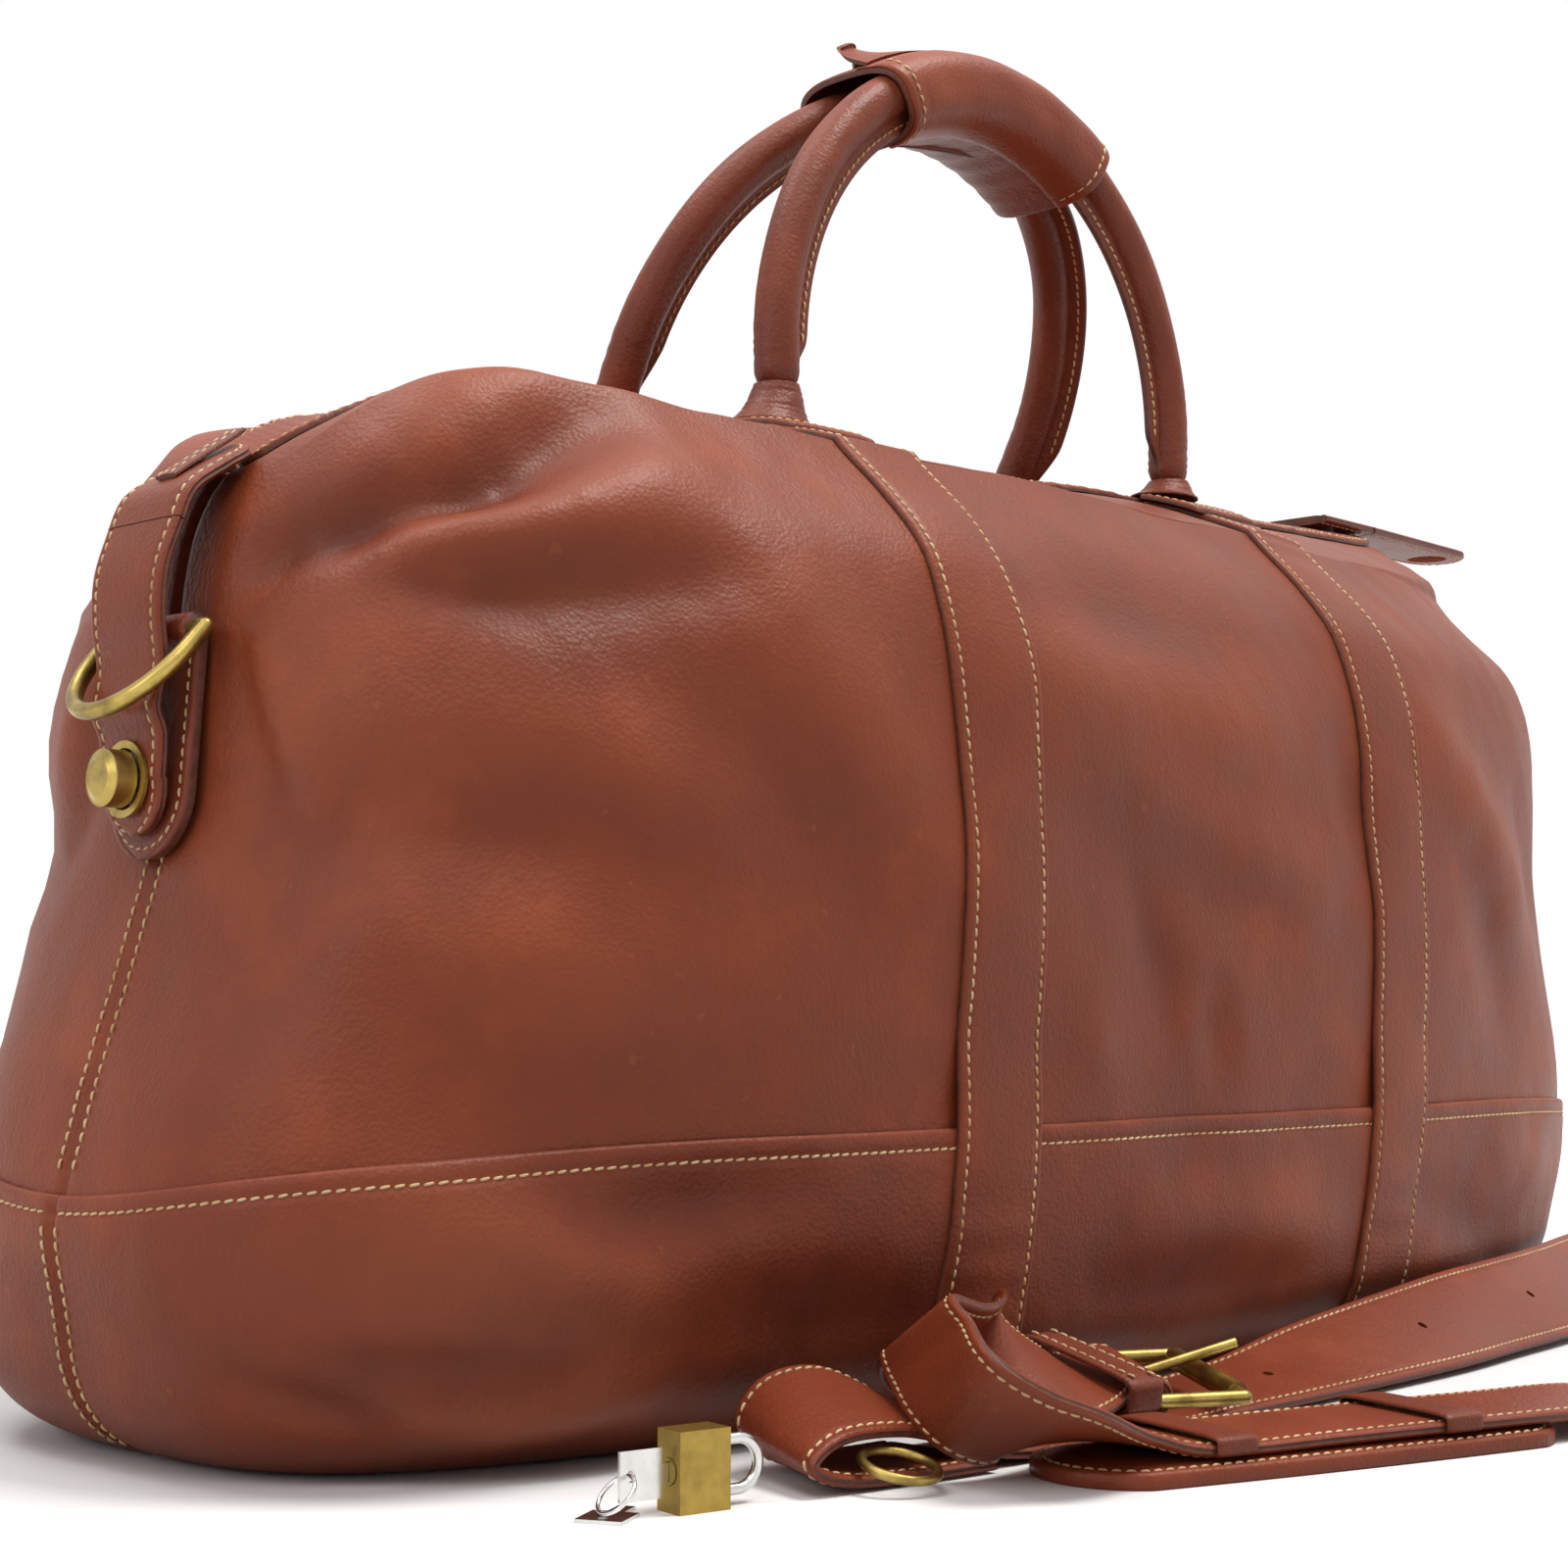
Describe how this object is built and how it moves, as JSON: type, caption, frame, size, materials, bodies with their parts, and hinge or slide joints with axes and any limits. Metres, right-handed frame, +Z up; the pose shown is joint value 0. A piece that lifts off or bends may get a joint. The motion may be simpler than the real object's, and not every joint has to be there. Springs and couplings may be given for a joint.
{
  "type": "boston bag",
  "caption": "Brown leather travel bag with two rolled handles wrapped together, a top zip, end straps with rings, and a buckled shoulder strap and a small padlock beside it.",
  "frame": {"origin": "centre of the bottom of the bag, on the floor that it stands on", "axes": "+X along the bag to the open end strap, +Z up, the front with the shoulder strap faces -Y"},
  "size_m": [0.6655, 0.394, 0.4193],
  "materials": {
    "leather_tan": "satin",
    "leather_dark": "satin",
    "antique_brass": "satin",
    "steel": "polished",
    "olive_tape": "matte",
    "lining_cloth": "matte",
    "cord_core": "matte",
    "board": "matte"
  },
  "bodies": {
    "bag": {"front_panel": "leather_tan", "back_panel": "leather_tan", "base_front": "leather_dark", "base_back": "leather_dark", "base_board": "board", "lining": "lining_cloth", "front_left_band": "leather_tan", "front_right_band": "leather_tan", "back_left_band": "leather_tan", "back_right_band": "leather_tan", "front_zip_facing": "leather_tan", "back_zip_facing": "leather_tan", "front_zip_tape": "olive_tape", "back_zip_tape": "olive_tape", "front_zip_teeth": "antique_brass", "back_zip_teeth": "antique_brass", "zip_stops": "antique_brass", "zip_end_tab": "leather_dark", "handle_feet": "leather_dark", "left_strap_root": "leather_tan", "left_tab": "leather_dark", "left_knob_post": "antique_brass", "right_strap_root": "leather_tan", "right_tab": "leather_dark", "right_knob_post": "antique_brass"},
    "zip_slider": {"zip_slider": "antique_brass"},
    "zip_puller": {"zip_puller": "antique_brass"},
    "front_handle": {"front_handle": "leather_tan", "front_handle_core": "cord_core", "handle_wrap": "leather_tan"},
    "back_handle": {"back_handle": "leather_tan", "back_handle_core": "cord_core"},
    "wrap_flap": {"wrap_flap": "leather_tan"},
    "left_end_strap": {"left_end_strap": "leather_tan", "left_eyelet": "antique_brass"},
    "left_d_ring": {"left_d_ring": "antique_brass"},
    "left_knob": {"left_knob": "antique_brass"},
    "right_end_strap": {"right_end_strap": "leather_tan", "right_eyelet": "antique_brass"},
    "right_d_ring": {"right_d_ring": "antique_brass"},
    "right_knob": {"right_knob": "antique_brass"},
    "shoulder_strap": {"sling_buckle_end": "leather_tan", "sling_holed_end": "leather_tan", "sling_keeper": "leather_dark", "buckle_frame": "antique_brass"},
    "sling_ring": {"sling_ring": "antique_brass"},
    "sling_far_ring": {"sling_far_ring": "antique_brass"},
    "buckle_roller": {"buckle_roller": "antique_brass"},
    "buckle_prong": {"buckle_prong": "antique_brass"},
    "shoulder_pad": {"shoulder_pad": "leather_tan", "pad_keepers": "leather_dark"},
    "padlock": {"padlock_body": "antique_brass"},
    "padlock_shackle": {"padlock_shackle": "steel"},
    "padlock_plug": {"padlock_plug": "antique_brass", "padlock_key": "steel"},
    "key_ring": {"key_ring": "steel"},
    "spare_key": {"spare_key": "steel"}
  },
  "joints": [
    {"name": "zip_run", "type": "slide", "parent": "bag", "child": "zip_slider", "axis": [0.9987, 0, 0.051], "range_m": [0, 0.4]},
    {"name": "puller_lift", "type": "hinge", "parent": "zip_slider", "child": "zip_puller", "pos_m": [-0.18827, 0, 0.27609], "axis": [0, -1, 0], "range_deg": [0, 120]},
    {"name": "front_handle_sway", "type": "hinge", "parent": "bag", "child": "front_handle", "pos_m": [0, -0.036, 0.297], "axis": [1, 0, 0], "range_deg": [-3, 1.4]},
    {"name": "back_handle_sway", "type": "hinge", "parent": "bag", "child": "back_handle", "pos_m": [0, 0.036, 0.297], "axis": [1, 0, 0], "range_deg": [-3, 1.4]},
    {"name": "flap_open", "type": "hinge", "parent": "front_handle", "child": "wrap_flap", "pos_m": [0, -0.0457, 0.4173], "axis": [1, 0, 0], "range_deg": [0, 100]},
    {"name": "left_strap_give", "type": "hinge", "parent": "bag", "child": "left_end_strap", "pos_m": [-0.28945, 0, 0.23], "axis": [0, 1, 0], "range_deg": [0, 1.5]},
    {"name": "left_ring_swing", "type": "hinge", "parent": "bag", "child": "left_d_ring", "pos_m": [-0.28525, 0, 0.203], "axis": [0, 1, 0], "range_deg": [0, 60]},
    {"name": "right_strap_fold", "type": "hinge", "parent": "bag", "child": "right_end_strap", "pos_m": [0.27, 0, 0.301], "axis": [0, 1, 0], "range_deg": [0, 28]},
    {"name": "right_ring_swing", "type": "hinge", "parent": "bag", "child": "right_d_ring", "pos_m": [0.29819, 0, 0.203], "axis": [0, -1, 0], "range_deg": [0, 100]},
    {"name": "left_knob_pull", "type": "slide", "parent": "bag", "child": "left_knob", "axis": [-1, 0, 0], "range_m": [0, 0.0025], "stiffness_N_per_m": 300},
    {"name": "right_knob_pull", "type": "slide", "parent": "bag", "child": "right_knob", "axis": [1, 0, 0], "range_m": [0, 0.0025], "stiffness_N_per_m": 300},
    {"name": "strap_pull_away", "type": "slide", "parent": "bag", "child": "shoulder_strap", "axis": [0, -1, 0], "range_m": [0, 0.08]},
    {"name": "roller_spin", "type": "hinge", "parent": "shoulder_strap", "child": "buckle_roller", "pos_m": [-0.0484, -0.14963, 0.0114], "axis": [0.466, 0.8764, 0.1219], "continuous": true},
    {"name": "prong_lift", "type": "hinge", "parent": "shoulder_strap", "child": "buckle_prong", "pos_m": [-0.0696, -0.13837, 0.0114], "axis": [-0.466, -0.8764, -0.1219], "range_deg": [0, 60]},
    {"name": "pad_shift", "type": "slide", "parent": "shoulder_strap", "child": "shoulder_pad", "axis": [0.9563, -0.2924, 0], "range_m": [0, 0.008]},
    {"name": "end_ring_tilt", "type": "hinge", "parent": "shoulder_strap", "child": "sling_ring", "pos_m": [-0.186, -0.16, 0.0059], "axis": [1, 0, 0], "range_deg": [-2, 2]},
    {"name": "far_ring_tilt", "type": "hinge", "parent": "shoulder_strap", "child": "sling_far_ring", "pos_m": [0.131, -0.259, 0.0066], "axis": [1, 0, 0], "range_deg": [-2, 2]},
    {"name": "padlock_lift", "type": "slide", "parent": "bag", "child": "padlock", "axis": [0, 0, 1], "range_m": [0, 0.03]},
    {"name": "shackle_pop", "type": "slide", "parent": "padlock", "child": "padlock_shackle", "axis": [0.9848, -0.1736, 0], "range_m": [0, 0.005]},
    {"name": "plug_turn", "type": "hinge", "parent": "padlock", "child": "padlock_plug", "pos_m": [-0.234, -0.1415, 0.009], "axis": [-0.9848, 0.1736, 0], "range_deg": [0, 90]},
    {"name": "key_ring_swing", "type": "hinge", "parent": "padlock_plug", "child": "key_ring", "pos_m": [-0.25069, -0.13856, 0.009], "axis": [0.1736, 0.9848, 0], "range_deg": [0, 20]},
    {"name": "spare_key_slide", "type": "slide", "parent": "bag", "child": "spare_key", "axis": [-0.7071, -0.7071, 0], "range_m": [0, 0.03]}
  ],
  "couplings": [
    {"joint": "back_handle_sway", "follows": "front_handle_sway", "ratio": 1}
  ]
}
